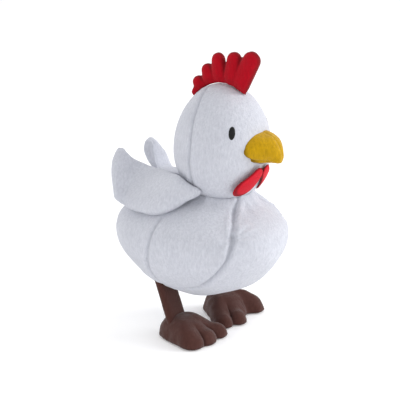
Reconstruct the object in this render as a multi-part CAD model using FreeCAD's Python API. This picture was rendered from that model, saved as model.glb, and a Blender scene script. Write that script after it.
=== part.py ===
import FreeCAD, Part
import math
import os

# Stuffed fleece chicken, millimetres, +Z up, standing on the plane Z = 0.
# The chicken looks along -Y, its left side is +X, and the origin lies on the
# floor under the widest point of the torso.

Vector = FreeCAD.Vector
UP = Vector(0, 0, 1)
ACROSS = Vector(1, 0, 0)

# Fabric and clearances
FLEECE = 2.0            # body and head fleece, pile included
BEAK_FABRIC = 1.5
COMB_FABRIC = 1.2
FELT = 2.2              # wattle felt
LIMB_FABRIC = 1.2       # leg and foot fabric
THREAD_RELIEF = 0.8     # how far the embroidered eye stands proud
SOFT_GAP = 0.3          # between pieces sewn into one body
MOVING_GAP = 0.8        # between pieces of different bodies

# Torso
TORSO_HALF_WIDTH = 76.0
TORSO_HALF_LENGTH = 89.0
TORSO_RISE = 46.0       # widest level up to the back
TORSO_DROP = 66.0       # widest level down to the belly
BELLY_CLEARANCE = 39.0  # floor to the lowest point of the belly
COLLAR_HEIGHT = 18.0
COLLAR_FLARE = 10.0     # how much wider the collar is at its foot
BELLY_SEAM_HEIGHT = 19.0  # above the lowest point of the belly
REAR_SEAM_OFFSET = 10.0   # behind the widest point

# Head
HEAD_RADIUS = 49.0
HEAD_RISE = 67.0        # head centre up to the crown
HEAD_FORWARD = 22.5     # head axis ahead of the torso's middle
HEAD_ABOVE_TORSO = 84.0  # head centre above the torso's widest level
HEAD_SEAM_BEHIND = 8.5  # side seam behind the head axis
NECK_RADIUS = 22.0
NECK_PAD = 5.0          # thickness of the fibre plug in the neck

# Eyes
EYE_BEARING = 46.0      # degrees from straight ahead
EYE_ABOVE = 28.0        # above the head centre
EYE_WIDTH = 6.0
EYE_HEIGHT = 12.5
EYE_TILT = 8.0

# Beak
BEAK_WIDTH = 54.0
BEAK_HEIGHT = 32.0
BEAK_REACH = 20.0       # ahead of the face, on the midline
BEAK_ROOT = 4.0         # depth inside the face where the reach starts

# Comb
COMB_THICKNESS = 12.0
COMB_SEAM = 3.0         # thickness of the sewn root
COMB_CLEAR = 2.5        # full thickness starts this far above the crown

# Wattles
WATTLE_LENGTH = 20.0    # between the centres of its two round ends
WATTLE_TOP_RADIUS = 4.0
WATTLE_LOBE_RADIUS = 9.5
WATTLE_HINGE_BELOW = 8.5  # below the head centre

# Wings
WING_MIDDLE = 33.0      # middle of the wing, behind the torso's middle
WING_EDGE = 0.88        # 1 brings the edges of the pad to a point
WING_STEPS = 8          # steps across each slice of the wing
WING_REACH = 40.0       # how far the cutting slab reaches past the wing
THINNEST = 0.35         # half of the thinnest part of any wing layer

# Legs and feet
HIP_OUT = 39.0
HIP_BEHIND = 18.0
LEG_WIDTH = 27.0
LEG_THICKNESS = 9.0
HIP_BACK_SWING = 30.0
HIP_FORWARD_SWING = 26.0
FOOT_THICKNESS = 18.0
FOOT_TAPER = 4.0
SOLE = 1.5
HEEL_RADIUS = 16.0
TOE_RADIUS = 10.5
RIGHT_FOOT_OUT = 40.0
RIGHT_FOOT_BEHIND = 7.5
LEFT_FOOT_OUT = 37.0
LEFT_FOOT_BEHIND = 6.5

# Places worked out from the sizes above
TORSO_CENTRE = Vector(0, 0, BELLY_CLEARANCE + TORSO_DROP)
HEAD_CENTRE = TORSO_CENTRE + Vector(0, -HEAD_FORWARD, HEAD_ABOVE_TORSO)
CROWN = HEAD_CENTRE.z + HEAD_RISE
ANKLE_HEIGHT = FOOT_THICKNESS + MOVING_GAP + LEG_THICKNESS / 2
FAR = 600.0             # larger than the whole toy

# Comb lobes: (behind the head axis, above the crown, radius) of the root and of the tip
COMB_LOBES = (
    ((-18.5, -2.0, 9.0), (-31.5, 23.5, 9.3)),
    ((-8.5, -2.0, 9.0), (-9.5, 22.0, 8.7)),
    ((2.5, -2.0, 8.0), (5.5, 21.0, 7.8)),
    ((12.5, -3.0, 7.5), (18.0, 10.5, 6.6)),
    ((21.0, -8.0, 7.0), (28.5, -2.0, 6.4)),
)
COMB_BASE = ((-19.0, -3.0, 7.0), (29.0, -12.0, 6.0))

# Wing slices, front to back: distance behind the wing's middle, then the middle line's top,
# crest and rim as (out from the midline, above the torso's widest level), half thickness
WING_STATIONS = (
    (-55, (37.0, 55), (38.8, 51.5), (39.8, 48), 3.2),
    (-47, (43.2, 59), (45.4, 51), (46, 43.5), 5.0),
    (-36, (43.6, 64.5), (49, 51), (53.7, 35.6), 6.6),
    (-23, (35, 63), (49.2, 47.5), (61, 30.2), 7.2),
    (-8, (24.5, 60), (44.2, 46), (61.2, 28.5), 7.2),
    (7, (15, 56), (38.2, 44.5), (58, 26.4), 7.5),
    (19, (12.8, 55.5), (35, 44), (54, 26.5), 8.0),
    (29, (15.5, 61), (32, 45), (48.5, 27.5), 9.0),
    (37, (17.5, 70.5), (29.5, 50), (42.5, 30), 9.8),
    (45, (16, 77.5), (26, 54), (37, 35), 9.6),
    (52, (15.5, 75), (23.5, 57.5), (31.5, 42), 8.4),
    (57, (18, 68), (22.5, 59.5), (27, 51), 5.6),
)

# Beak sections: (share of the reach, height above the head centre, half width share,
# half height share, tilt in degrees)
BEAK_SECTIONS = (
    (-0.45, 10.0, 1.00, 1.00, 0.0),
    (0.03, 9.5, 0.90, 0.97, 3.0),
    (0.45, 8.0, 0.64, 0.81, 16.0),
    (0.79, 3.7, 0.36, 0.52, 34.0),
    (0.94, -1.4, 0.16, 0.25, 44.0),
)

# Middle of each toe's round tip from the middle of the heel: (outwards, forwards).
# The left foot is toed in and splayed, so the two feet have their own values.
RIGHT_TOES = ((14.0, 31.5), (-1.0, 34.5), (-21.0, 34.5))
LEFT_TOES = ((21.0, 33.0), (-15.0, 34.0), (-31.0, 27.0))


def half_space(point, outward):
    """A very large block on the side of a plane that the arrow points to."""
    block = Part.makeBox(2 * FAR, 2 * FAR, FAR, Vector(-FAR, -FAR, 0))
    turn = FreeCAD.Rotation(UP, outward)
    block.Placement = FreeCAD.Placement(point, turn)
    return block


def mirrored(shape):
    return shape.mirror(Vector(0, 0, 0), ACROSS)


def solid_of(shape):
    """The largest solid of a boolean result, without its split faces."""
    clean = shape.removeSplitter()
    return max(clean.Solids, key=lambda solid: solid.Volume)


def egg(centre, half_width, half_length, rise, drop):
    """Two half ellipsoids that meet at their widest level."""
    halves = []
    for reach, low, high in ((rise, 0, 90), (drop, -90, 0)):
        half = Part.makeSphere(half_width, Vector(), UP, low, high, 360)
        if (half_length, reach) != (half_width, half_width):
            stretch = FreeCAD.Matrix()
            stretch.scale(1.0, half_length / half_width, reach / half_width)
            half = half.transformGeometry(stretch)
        halves.append(half)
    whole = halves[0].fuse(halves[1])
    whole.translate(centre)
    return whole.Solids[0]


def torso_form(grow):
    """The torso's outer form, larger on every side by grow."""
    body = egg(
        TORSO_CENTRE,
        TORSO_HALF_WIDTH + grow,
        TORSO_HALF_LENGTH + grow,
        TORSO_RISE + grow,
        TORSO_DROP + grow,
    )
    return body


def collar_form(grow):
    """The cone of fabric that rises from the torso to the neck seam."""
    rim = neck_rim_radius() + 1.5
    foot = Vector(HEAD_CENTRE.x, HEAD_CENTRE.y, neck_rim_height() - COLLAR_HEIGHT)
    return Part.makeCone(rim + COLLAR_FLARE + grow, rim + grow, COLLAR_HEIGHT, foot, UP)


def neck_rim_height():
    """Where the torso's top meets the head, on the torso's back."""
    share = HEAD_FORWARD / TORSO_HALF_LENGTH
    return TORSO_CENTRE.z + TORSO_RISE * math.sqrt(1 - share**2)


def neck_rim_radius():
    depth = HEAD_CENTRE.z - neck_rim_height()
    return math.sqrt(HEAD_RADIUS**2 - depth**2)


def head_form(grow):
    radius = HEAD_RADIUS + grow
    return egg(HEAD_CENTRE, radius, radius, HEAD_RISE + grow, radius)


def neck_cylinder(radius):
    foot = HEAD_CENTRE - Vector(0, 0, 2 * HEAD_RADIUS)
    return Part.makeCylinder(radius, 2 * HEAD_RADIUS, foot, UP)


def neck_socket():
    """The hollow of the torso that takes the head's ball and the neck plug."""
    ball = Part.makeSphere(HEAD_RADIUS + MOVING_GAP, HEAD_CENTRE)
    deep = Part.makeSphere(HEAD_RADIUS + NECK_PAD + 2 * MOVING_GAP, HEAD_CENTRE)
    pocket = deep.common(neck_cylinder(NECK_RADIUS + MOVING_GAP))
    return ball.fuse(pocket)


def torso_pieces():
    socket = neck_socket()
    outer = torso_form(0).fuse(collar_form(0))
    inner = torso_form(-FLEECE).fuse(collar_form(-FLEECE))
    skin = outer.cut(inner).cut(socket)
    filling = torso_form(-FLEECE - SOFT_GAP).fuse(collar_form(-FLEECE - SOFT_GAP))
    belly_seam = TORSO_CENTRE.z - TORSO_DROP + BELLY_SEAM_HEIGHT
    below = half_space(Vector(0, 0, belly_seam), -UP)
    behind = half_space(Vector(0, REAR_SEAM_OFFSET, 0), Vector(0, 1, 0))
    right_half = half_space(Vector(0, 0, 0), -ACROSS)
    neck_point = HEAD_CENTRE + Vector(-4, -18.5, -43)
    right_front = half_space(neck_point, Vector(0.626, -0.668, -0.402))
    left_front = mirrored(right_front)
    sides = skin.cut(below)
    breast = sides.common(right_front).common(left_front).cut(behind)
    rear = sides.common(behind)
    flank = sides.cut(behind).cut(breast)
    right_flank = flank.common(right_half)
    right_rear = rear.common(right_half)
    return {
        "breast_panel": breast,
        "belly_panel": skin.common(below),
        "right_side_panel": right_flank,
        "left_side_panel": mirrored(right_flank),
        "right_rear_panel": right_rear,
        "left_rear_panel": mirrored(right_rear),
        "body_stuffing": filling.cut(socket),
    }


def neck_pieces():
    """A saucer of fibre under the head that lets it turn and nod."""
    seat = Part.makeSphere(HEAD_RADIUS + MOVING_GAP, HEAD_CENTRE)
    base = Part.makeSphere(HEAD_RADIUS + MOVING_GAP + NECK_PAD, HEAD_CENTRE)
    return {"neck_stuffing": base.cut(seat).common(neck_cylinder(NECK_RADIUS))}


def head_pieces():
    skin = head_form(0).cut(head_form(-FLEECE))
    seam = HEAD_CENTRE + Vector(0, HEAD_SEAM_BEHIND, 0)
    ahead = half_space(seam, Vector(0, -1, 0))
    right_half = half_space(Vector(0, 0, 0), -ACROSS)
    right_face = skin.common(ahead).common(right_half)
    right_back = skin.cut(ahead).common(right_half)
    return {
        "right_face_panel": right_face,
        "left_face_panel": mirrored(right_face),
        "right_head_back_panel": right_back,
        "left_head_back_panel": mirrored(right_back),
        "head_stuffing": head_form(-FLEECE - SOFT_GAP),
    }


def eye_pieces():
    """Oval satin-stitch eyes that stand a little proud of the face."""
    level = HEAD_RADIUS * math.sqrt(1 - (EYE_ABOVE / HEAD_RISE) ** 2)
    bearing = math.radians(EYE_BEARING)
    spot = Vector(-level * math.sin(bearing), -level * math.cos(bearing), EYE_ABOVE)
    lean = Vector(spot.x, spot.y, spot.z * (HEAD_RADIUS / HEAD_RISE) ** 2)
    oval = Part.makeCylinder(EYE_WIDTH / 2, 2 * HEAD_RADIUS, Vector(), UP)
    stretch = FreeCAD.Matrix()
    stretch.scale(EYE_HEIGHT / EYE_WIDTH, 1.0, 1.0)
    oval = oval.transformGeometry(stretch)
    oval.rotate(Vector(), UP, EYE_TILT)
    oval.rotate(Vector(), Vector(0, 1, 0), 90)
    oval.rotate(Vector(), Vector(0, 1, 0), -math.degrees(math.atan2(lean.z, level)))
    oval.rotate(Vector(), UP, math.degrees(math.atan2(lean.y, lean.x)))
    oval.translate(HEAD_CENTRE + spot - lean * 0.5)
    thread = head_form(SOFT_GAP / 3 + THREAD_RELIEF).cut(head_form(SOFT_GAP / 3))
    right = thread.common(oval)
    return {"right_eye": right, "left_eye": mirrored(right)}


def beak_form(shrink):
    """A loft through five ovals that bend down to the hooked tip."""
    wires = []
    for share, height, width_share, height_share, tilt in BEAK_SECTIONS:
        half_width = BEAK_WIDTH / 2 * width_share - shrink
        half_height = BEAK_HEIGHT / 2 * height_share - shrink
        ring = Part.Wire(Part.makeCircle(1.0, Vector(), Vector(0, 1, 0)))
        stretch = FreeCAD.Matrix()
        stretch.scale(half_width, 1.0, half_height)
        ring = ring.transformGeometry(stretch)
        ring.rotate(Vector(), ACROSS, tilt)
        ahead = HEAD_RADIUS - BEAK_ROOT + (BEAK_REACH - shrink) * share
        ring.translate(HEAD_CENTRE + Vector(0, -ahead, height))
        wires.append(ring)
    return Part.makeLoft(wires, True, False)


def beak_pieces():
    clear = head_form(SOFT_GAP)
    whole = beak_form(0).cut(clear)
    skin = solid_of(whole).cut(beak_form(BEAK_FABRIC))
    filling = beak_form(BEAK_FABRIC + SOFT_GAP).cut(clear)
    lower = HEAD_CENTRE + Vector(0, -HEAD_RADIUS, -2.0)
    under = half_space(lower, Vector(0, 0.12, -1))
    right_half = half_space(Vector(0, 0, 0), -ACROSS)
    right = skin.cut(under).common(right_half)
    return {
        "beak_right_panel": right,
        "beak_left_panel": mirrored(right),
        "beak_under_panel": skin.common(under),
        "beak_stuffing": filling,
    }


def capsule_wire(start, end, height, shrink):
    """A stadium outline round two circles (x, y, radius), at one height."""
    (x0, y0, r0), (x1, y1, r1) = start, end
    r0, r1 = r0 - shrink, r1 - shrink
    run = math.hypot(x1 - x0, y1 - y0)
    heading = math.atan2(y1 - y0, x1 - x0)
    spread = math.acos((r0 - r1) / run)

    def spot(x, y, radius, angle):
        return Vector(x + radius * math.cos(angle), y + radius * math.sin(angle), height)

    left, right = heading + spread, heading - spread
    tail = Part.Arc(
        spot(x0, y0, r0, left), spot(x0, y0, r0, heading + math.pi), spot(x0, y0, r0, right)
    )
    nose = Part.Arc(spot(x1, y1, r1, right), spot(x1, y1, r1, heading), spot(x1, y1, r1, left))
    lower = Part.LineSegment(spot(x0, y0, r0, right), spot(x1, y1, r1, right))
    upper = Part.LineSegment(spot(x1, y1, r1, left), spot(x0, y0, r0, left))
    return Part.Wire([tail.toShape(), lower.toShape(), nose.toShape(), upper.toShape()])


def side_prism(pairs, centre, shrink, half_thickness):
    """Capsules drawn in side view and given a thickness across the toy."""
    whole = None
    for start, end in pairs:
        face = Part.Face(capsule_wire(start, end, -half_thickness, shrink))
        plate = face.extrude(Vector(0, 0, 2 * half_thickness))
        whole = plate if whole is None else whole.fuse(plate)
    # the drawing's x becomes +Y, its y becomes +Z, and the thickness runs along X
    whole.rotate(Vector(), Vector(1, 1, 1), 120)
    whole.translate(centre)
    return whole


def comb_form(shrink, half_thickness):
    top = Vector(0, HEAD_CENTRE.y, CROWN)
    return side_prism(COMB_LOBES + (COMB_BASE,), top, shrink, half_thickness)


def comb_pieces():
    seam_slab = Part.makeBox(COMB_SEAM, 2 * FAR, 2 * FAR, Vector(-COMB_SEAM / 2, -FAR, -FAR))
    crown = head_form(MOVING_GAP)
    relief = head_form(COMB_CLEAR).cut(seam_slab)
    whole = comb_form(0, COMB_THICKNESS / 2).cut(crown).cut(relief)
    hollow = comb_form(COMB_FABRIC, COMB_THICKNESS / 2 - COMB_FABRIC)
    deep = head_form(COMB_CLEAR + COMB_FABRIC)
    skin = whole.cut(hollow.cut(deep))
    inset = COMB_FABRIC + SOFT_GAP
    filling = comb_form(inset, COMB_THICKNESS / 2 - inset).cut(head_form(COMB_CLEAR + inset))
    right_half = half_space(Vector(0, 0, 0), -ACROSS)
    right = skin.common(right_half)
    return {
        "comb_right_face": right,
        "comb_left_face": mirrored(right),
        "comb_stuffing": filling,
    }


def wattle_pieces():
    """Felt lobes that lie on the throat, one each side of the midline."""
    drop = WATTLE_LENGTH
    top = (-6.0, HEAD_CENTRE.z - WATTLE_HINGE_BELOW - WATTLE_TOP_RADIUS, WATTLE_TOP_RADIUS)
    low = (top[0] - drop * 0.68, top[1] - drop * 0.73, WATTLE_LOBE_RADIUS)
    face = Part.Face(capsule_wire(top, low, 0, 0))
    leaf = face.extrude(Vector(0, 0, 2 * HEAD_RADIUS))
    leaf.rotate(Vector(), ACROSS, 90)
    leaf.translate(Vector(0, HEAD_CENTRE.y, 0))
    lift = MOVING_GAP
    layer = head_form(lift + FELT).cut(head_form(lift))
    right = solid_of(layer.common(leaf))
    return {"right_wattle": right, "left_wattle": mirrored(right)}


def wing_section(station, shrink, sides):
    """Points round one slice of the right wing, on the outer face and on the inner face."""
    behind, top, crest, rim, half = station
    ring = [[], []]
    for step in range(WING_STEPS + 1):
        share = step / WING_STEPS
        weights = (
            (1 - share) * (1 - 2 * share),
            4 * share * (1 - share),
            share * (2 * share - 1),
        )
        slopes = (4 * share - 3, 4 - 8 * share, 4 * share - 1)
        out = sum(w * point[0] for w, point in zip(weights, (top, crest, rim)))
        above = sum(w * point[1] for w, point in zip(weights, (top, crest, rim)))
        run = sum(w * point[0] for w, point in zip(slopes, (top, crest, rim)))
        fall = sum(w * point[1] for w, point in zip(slopes, (top, crest, rim)))
        length = math.hypot(run, fall)
        round_off = math.sqrt(1 - (2 * share - 1) ** 4 * WING_EDGE)
        offset = max((half - shrink) * round_off, THINNEST)
        slide = shrink * (1 - 2 * share)
        for face, sign in ((0, 1), (1, -1)):
            lift = sign * offset
            x = -(out + (run * slide - fall * lift) / length)
            z = TORSO_CENTRE.z + above + (fall * slide + run * lift) / length
            ring[face].append(Vector(x, WING_MIDDLE + behind, z))
    return ring[0] + ring[1][::-1] if sides == 2 else ring


def wing_loft(shrink):
    """The right wing pad, smaller on every side by shrink, clear of torso and head."""
    wires = []
    for number, station in enumerate(WING_STATIONS):
        behind, top, crest, rim, half = station
        if number in (0, len(WING_STATIONS) - 1):
            behind += shrink if number == 0 else -shrink
        points = wing_section((behind, top, crest, rim, half), shrink, 2)
        wires.append(Part.makePolygon(points + points[:1]))
    pad = Part.makeLoft(wires, True, True)
    room = MOVING_GAP + shrink
    pad = pad.cut(torso_form(room)).cut(head_form(room)).cut(collar_form(room))
    return solid_of(pad)


def wing_outside():
    """A thick slab over the outer half of the right wing."""
    rings = []
    for station in WING_STATIONS:
        behind, top, crest, rim, half = station
        if station is WING_STATIONS[0]:
            behind -= WING_REACH
        if station is WING_STATIONS[-1]:
            behind += WING_REACH
        middle = wing_section((behind, top, crest, rim, THINNEST), 0, 1)
        first, last = middle[0][0], middle[0][-1]
        along = (last - first).normalize() * WING_REACH
        line = [first - along] + middle[0] + [last + along]
        away = Vector(-WING_REACH, 0, WING_REACH)
        rings.append(Part.makePolygon(line + [line[-1] + away, line[0] + away, line[0]]))
    return Part.makeLoft(rings, True, True)


def wing_pieces():
    whole = wing_loft(0)
    shell = whole.cut(wing_loft(FLEECE))
    outside = wing_outside()
    pieces = {
        "wing_inner_panel": solid_of(shell.cut(outside)),
        "wing_outer_panel": solid_of(shell.common(outside)),
        "wing_stuffing": wing_loft(FLEECE + SOFT_GAP),
    }
    both = {}
    for name, piece in pieces.items():
        both["right_" + name] = piece
        both["left_" + name] = mirrored(piece)
    return both


def leg_bar(hip, ankle, shrink):
    """A flat bar with round edges from the ankle up past the hip."""
    half_width = LEG_WIDTH / 2 - shrink
    half_thick = LEG_THICKNESS / 2 - shrink
    reach = (hip - ankle).Length + LEG_WIDTH
    edge = half_width - half_thick
    section = capsule_wire((-edge, 0, half_thick), (edge, 0, half_thick), 0, 0)
    bar = Part.Face(section).extrude(Vector(0, 0, reach))
    bar.Placement = FreeCAD.Placement(ankle, FreeCAD.Rotation(UP, hip - ankle))
    start = ankle - ACROSS * (half_width - half_thick / 2)
    hem = Part.makeCylinder(half_thick, 2 * half_width - half_thick, start, ACROSS)
    return bar.fuse(hem)


def leg_pieces(side):
    """side is -1 for the right leg and 1 for the left leg."""
    name, place = foot_place(side)
    hip = hip_point(side)
    ankle = place + Vector(0, 0, ANKLE_HEIGHT)
    skin = leg_bar(hip, ankle, 0).cut(leg_bar(hip, ankle, LIMB_FABRIC))
    filling = leg_bar(hip, ankle, LIMB_FABRIC + SOFT_GAP)
    swings = (-HIP_FORWARD_SWING, -HIP_FORWARD_SWING / 2, 0, HIP_BACK_SWING / 2, HIP_BACK_SWING)
    for swing in swings:
        belly = torso_form(MOVING_GAP)
        belly.rotate(hip, ACROSS, -swing)
        skin = skin.cut(belly)
        filling = filling.cut(belly)
    return {name + "_leg_fabric": solid_of(skin), name + "_leg_stuffing": solid_of(filling)}


def hip_point(side):
    """The point of the belly where a leg is sewn in."""
    share = (HIP_OUT / TORSO_HALF_WIDTH) ** 2 + (HIP_BEHIND / TORSO_HALF_LENGTH) ** 2
    height = TORSO_CENTRE.z - TORSO_DROP * math.sqrt(1 - share)
    return Vector(side * HIP_OUT, HIP_BEHIND, height)


def foot_form(side, low, high, shrink):
    """Three tapered toes that spread from one heel."""
    whole = None
    for out, ahead in RIGHT_TOES if side < 0 else LEFT_TOES:
        heel = (0, 0, HEEL_RADIUS)
        toe = (side * out, -ahead, TOE_RADIUS)
        rings = []
        for level in (low, high):
            taper = shrink + FOOT_TAPER * level / FOOT_THICKNESS
            rings.append(capsule_wire(heel, toe, level, taper))
        part = Part.makeLoft(rings, True, True)
        whole = part if whole is None else whole.fuse(part)
    return solid_of(whole)


def foot_pieces(side):
    top = FOOT_THICKNESS
    inset = LIMB_FABRIC + SOFT_GAP
    whole = foot_form(side, SOLE, top, 0)
    hollow = foot_form(side, SOLE, top - LIMB_FABRIC, LIMB_FABRIC)
    pieces = {
        "sole": foot_form(side, 0, SOLE, 0),
        "upper": whole.cut(hollow),
        "stuffing": foot_form(side, SOLE + SOFT_GAP, top - inset, inset),
    }
    name, place = foot_place(side)
    made = {}
    for label, piece in pieces.items():
        piece.translate(place)
        made[f"{name}_foot_{label}"] = piece
    return made


def foot_place(side):
    """The name of a side and the middle of its heel on the floor."""
    if side < 0:
        return "right", Vector(-RIGHT_FOOT_OUT, RIGHT_FOOT_BEHIND, 0)
    return "left", Vector(LEFT_FOOT_OUT, LEFT_FOOT_BEHIND, 0)


def main():
    os.makedirs("parts", exist_ok=True)
    nodes = {}
    nodes.update(torso_pieces())
    nodes.update(neck_pieces())
    nodes.update(head_pieces())
    nodes.update(eye_pieces())
    nodes.update(beak_pieces())
    nodes.update(comb_pieces())
    nodes.update(wattle_pieces())
    nodes.update(wing_pieces())
    for side in (-1, 1):
        nodes.update(leg_pieces(side))
        nodes.update(foot_pieces(side))
    for name, shape in nodes.items():
        solid = solid_of(shape)
        print(f"{name:24s} valid {solid.isValid()}  volume {solid.Volume / 1000:9.2f} ml")
        solid.exportStep(f"parts/{name}.step")
    hip = hip_point(-1)
    print("hip height", round(hip.z, 2), "ankle height", ANKLE_HEIGHT, "head", HEAD_CENTRE)


main()
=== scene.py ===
"""Stuffed fleece chicken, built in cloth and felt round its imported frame."""

import math

import bmesh
import bpy
import numpy as np
from mathutils import Matrix, Vector
from mathutils.bvhtree import BVHTree


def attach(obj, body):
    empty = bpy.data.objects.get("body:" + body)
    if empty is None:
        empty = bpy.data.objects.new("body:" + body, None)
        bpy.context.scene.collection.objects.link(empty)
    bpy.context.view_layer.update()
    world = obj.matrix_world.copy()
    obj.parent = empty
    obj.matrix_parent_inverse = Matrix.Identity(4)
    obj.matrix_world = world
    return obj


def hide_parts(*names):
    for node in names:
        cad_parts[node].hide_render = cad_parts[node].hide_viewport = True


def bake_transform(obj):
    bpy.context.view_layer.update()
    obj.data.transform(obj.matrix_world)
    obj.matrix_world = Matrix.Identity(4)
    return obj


bl_info = {
    "name": "Stuffed fleece chicken",
    "version": (1, 0, 0),
    "blender": (4, 5, 0),
    "location": "View3D > Sidebar > Chicken",
    "description": "Builds the sewn pieces, the materials and the studio of a fleece chicken",
    "category": "Object",
}

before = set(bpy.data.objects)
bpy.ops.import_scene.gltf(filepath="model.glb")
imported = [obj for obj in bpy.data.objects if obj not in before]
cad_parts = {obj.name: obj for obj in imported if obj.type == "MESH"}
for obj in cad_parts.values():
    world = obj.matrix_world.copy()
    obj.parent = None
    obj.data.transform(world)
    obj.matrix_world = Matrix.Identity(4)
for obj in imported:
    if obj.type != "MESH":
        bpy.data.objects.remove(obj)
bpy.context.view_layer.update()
MM = 0.001

# Places that the pieces share, in millimetres: the chicken looks along -Y
TORSO_CENTRE = np.array((0.0, 0.0, 105.0))
HEAD_CENTRE = np.array((0.0, -22.5, 189.0))
HEAD_RADIUS = 49.0
HEAD_RISE = 67.0
NECK_GAP = 0.08

# Sewn lines of the right side, in millimetres; the left side mirrors them
FRONT_SEAM = (
    (-4, -41, 146), (-17, -48, 142), (-32, -56, 135), (-42, -61.5, 127), (-47, -65, 119),
    (-51, -65, 110), (-54, -63, 98), (-56, -56, 86), (-56, -46, 75), (-54, -34, 66),
    (-53, -26, 61),
)
REAR_SEAM = (
    (-58, 9, 136), (-65, 9, 129), (-69, 11, 124), (-74, 13, 114), (-75, 16, 104),
    (-73, 19, 90), (-67.5, 21, 78), (-60, 18, 66), (-50, 12.5, 56),
)
BELLY_SEAM = ((-50, 12.5, 56), (-51, -7, 57), (-53, -26, 61), (-52, -36, 65))
TAIL_SEAM = ((-50, 12.5, 56), (-40, 40, 60), (-22, 58, 64), (0, 64, 66))
BACK_SEAM = ((0, 32, 147), (0, 60, 137), (0, 80, 123), (0, 90, 105), (0, 84, 84), (0, 64, 66))
PINCH = np.array((-47.0, -65.0, 119.0))
HEAD_SEAM = (
    (-4, -11, 255), (-16, -12, 250), (-32, -14, 239), (-40, -14.5, 226), (-46.5, -16, 208),
    (-48, -15.5, 194), (-47, -15, 179), (-43.5, -14.5, 168), (-36, -14, 156), (-28, -14, 149),
)
NAPE_SEAM = ((0, -8, 255), (0, 12, 240), (0, 23, 218), (0, 26, 195), (0, 22, 172), (0, 12, 155))

# Wing slices, front to back: y, then (out, z) of the middle line's top, crest and rim,
# and half the thickness
WING_STATIONS = (
    (-26, (38.0, 158), (39.0, 156.5), (40.0, 155), 1.2),
    (-22, (37.5, 161), (40.0, 156.5), (41.5, 151), 4.6),
    (-14, (43.0, 165), (46.0, 156), (46.5, 147.5), 6.4),
    (-3, (43.4, 170.5), (49.0, 156), (54.0, 139), 8.0),
    (10, (35.0, 169), (49.0, 152.5), (61.5, 134), 8.6),
    (25, (24.5, 166), (44.0, 151), (62.0, 132), 8.6),
    (40, (15.0, 162), (38.0, 149.5), (59.0, 130), 8.8),
    (52, (12.5, 161.5), (34.5, 149), (54.5, 130), 9.4),
    (62, (15.5, 167.0), (31.5, 150), (48.5, 131), 10.0),
    (70, (17.5, 177), (29.0, 155), (42.0, 133.5), 10.6),
    (78, (16.0, 184.5), (25.5, 159), (36.5, 138.5), 10.4),
    (86, (15.5, 181.5), (22.5, 163), (30.5, 147), 9.2),
    (93, (17.5, 174), (21.5, 165), (26.5, 156), 6.6),
    (97, (20.5, 168), (21.5, 165.5), (23.0, 163), 1.5),
)

# Comb lobes in the side view: (y, z, radius) of the root and of the tip, then the sewn base
COMB_LOBES = (
    ((-41.0, 253.0, 9.5), (-54.0, 279.6, 9.6)),
    ((-31.5, 253.0, 8.8), (-35.0, 279.4, 7.7)),
    ((-20.0, 253.0, 8.4), (-17.2, 277.6, 7.2)),
    ((-10.0, 252.0, 8.5), (-5.2, 266.2, 7.0)),
    ((-1.5, 247.0, 8.0), (5.2, 253.6, 6.8)),
)
COMB_BASE = ((-41.0, 251.5, 7.6), (6.5, 243.0, 7.0))
COMB_HALF = 6.6

# Feet: heel and toe tips on the floor, (x, y, radius), right foot then left foot
FEET = {
    "right": ((-40, 6.5, 17.3), ((-51, -20, 14), (-36.5, -26, 12.5), (-17, -28.5, 11))),
    "left": ((37, 6.5, 16.0), ((58, -26.5, 10.5), (22, -27.5, 10.5), (6, -20.5, 10.5))),
}
HIPS = {"right": (-39.0, 18.0, 49.95), "left": (39.0, 18.0, 49.95)}
ANKLES = {"right": (-40.0, 7.5, 23.3), "left": (37.0, 6.5, 23.3)}

# Beak rings: (y, z, half width, half height, tilt in degrees)
BEAK_RINGS = (
    (-56.0, 199.0, 24.0, 14.5, 0.0),
    (-62.0, 199.0, 26.5, 15.6, 0.0),
    (-68.0, 198.7, 24.4, 15.6, 3.0),
    (-76.5, 197.2, 17.6, 13.1, 16.0),
    (-83.2, 193.2, 10.2, 8.6, 33.0),
    (-86.6, 188.2, 5.2, 4.6, 46.0),
    (-87.6, 185.2, 1.2, 1.2, 52.0),
)


# ---------------------------------------------------------------- materials

def linear(colour):
    """An sRGB hex colour as linear RGBA."""
    parts = [int(colour[i:i + 2], 16) / 255 for i in (1, 3, 5)]
    return [p / 12.92 if p <= 0.04045 else ((p + 0.055) / 1.055) ** 2.4 for p in parts] + [1.0]


def picked(name):
    """A colour chosen in the panel, as linear RGBA."""
    return [*getattr(bpy.context.scene.chicken_colours, name), 1.0]


def darker(colour, share, tint=(1.0, 1.0, 1.0)):
    """The same colour with less light in it."""
    return [c * share * t for c, t in zip(colour, tint)] + [1.0]


def node(tree, kind, settings=None, links=None):
    """Adds a node. A setting is a property or an input's value, a link an input's source."""
    made = tree.nodes.new(kind)
    for key, value in (settings or {}).items():
        if isinstance(key, str) and hasattr(made, key):
            setattr(made, key, value)
        else:
            made.inputs[key].default_value = value
    for key, source in (links or {}).items():
        tree.links.new(source, made.inputs[key])
    return made


def material(name, settings):
    """A new material and its shader, with constant values on the shader's own sockets."""
    made = bpy.data.materials.new(name)
    made.use_nodes = True
    tree = made.node_tree
    tree.nodes.clear()
    shader = node(tree, "ShaderNodeBsdfPrincipled", settings)
    node(tree, "ShaderNodeOutputMaterial", None, {"Surface": shader.outputs[0]})
    return made, tree, shader


def ramp(tree, source, low, high, to_low=0.0, to_high=1.0):
    """A value between low and high, stretched to a new range."""
    return node(
        tree, "ShaderNodeMapRange",
        {"From Min": low, "From Max": high, "To Min": to_low, "To Max": to_high},
        {"Value": source},
    ).outputs[0]


def noise(tree, vector, size_mm, detail=2.0, roughness=0.55):
    """Noise with blobs of a real size in millimetres."""
    return node(
        tree, "ShaderNodeTexNoise",
        {"Scale": 1000.0 / size_mm, "Detail": detail, "Roughness": roughness},
        {"Vector": vector},
    ).outputs[0]


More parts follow.
